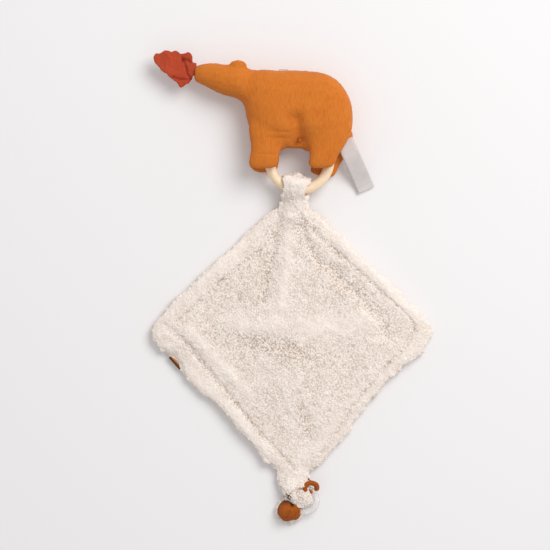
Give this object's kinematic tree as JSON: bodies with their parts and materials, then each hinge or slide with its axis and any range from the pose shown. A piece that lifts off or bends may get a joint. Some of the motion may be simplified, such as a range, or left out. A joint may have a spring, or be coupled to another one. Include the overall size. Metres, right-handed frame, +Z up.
{
  "type": "comfort blanket lovey",
  "caption": "Baby comforter: a stuffed muslin bear with a leaf in its mouth on a wooden teething ring, with a looped sherpa blanket and a clear pacifier ring knotted into its corner",
  "frame": {"origin": "where the blanket's two diagonals cross, on the flat underside that lies on the table", "axes": "+X to the blanket's right side corner, +Y along the diagonal from the knotted corner to the bear, +Z up from the table"},
  "size_m": [0.2766, 0.4698, 0.0447],
  "materials": {
    "muslin": "matt crinkled double gauze",
    "leaf_muslin": "matt crinkled double gauze",
    "sherpa": "matt curly pile",
    "filling": "matt polyester fibre",
    "satin": "soft satin",
    "label_tape": "matt woven tape",
    "thread": "matt twisted thread",
    "wood": "smooth, oiled",
    "clear_silicone": "smooth, clear"
  },
  "bodies": {
    "blanket": {"blanket_front": "sherpa", "blanket_back": "muslin", "edge_label": "label_tape"},
    "loop": {"corner_loop": "sherpa", "corner_loop_lining": "muslin"},
    "bear": {"torso_cover": "muslin", "head_cover": "muslin", "near_ear": "muslin", "far_ear": "muslin", "near_front_leg": "muslin", "near_hind_leg": "muslin", "far_front_leg": "muslin", "far_hind_leg": "muslin", "filling": "filling", "belly_stitch": "thread"},
    "teething_ring": {"wooden_ring": "wood"},
    "leaf": {"leaf_front": "leaf_muslin", "leaf_back": "leaf_muslin"},
    "care_tag": {"care_label": "satin"},
    "knot": {"knot_wrap": "sherpa", "knot_tail": "muslin", "knot_strap": "muslin"},
    "clear_ring": {"pacifier_ring": "clear_silicone"}
  },
  "joints": [
    {"name": "neck_fold", "type": "hinge", "parent": "blanket", "child": "loop", "pos_m": [0.0035, 0.12335, 0.0106], "axis": [1, 0, 0], "range_deg": [-45, 60]},
    {"name": "bear_swing", "type": "hinge", "parent": "loop", "child": "bear", "pos_m": [0.0074, 0.16655, 0.01795], "axis": [0, 0, 1], "range_deg": [-15, 18]},
    {"name": "ring_turn", "type": "hinge", "parent": "bear", "child": "teething_ring", "pos_m": [0.0074, 0.16655, 0.01795], "axis": [0, 0, 1], "continuous": true},
    {"name": "leaf_flap", "type": "hinge", "parent": "bear", "child": "leaf", "pos_m": [-0.09845, 0.2566, 0.02], "axis": [0, 1, 0], "range_deg": [-45, 45]},
    {"name": "care_label_flap", "type": "hinge", "parent": "bear", "child": "care_tag", "pos_m": [0.052, 0.18595, 0.018], "axis": [-0.9099, -0.4149, 0], "range_deg": [-20, 15]},
    {"name": "knot_lift", "type": "hinge", "parent": "blanket", "child": "knot", "pos_m": [0.001, -0.15015, 0.0044], "axis": [-1, 0, 0], "range_deg": [-30, 60]},
    {"name": "pacifier_ring_turn", "type": "hinge", "parent": "knot", "child": "clear_ring", "pos_m": [0.013, -0.173, 0.0077], "axis": [0, 0, 1], "continuous": true}
  ]
}
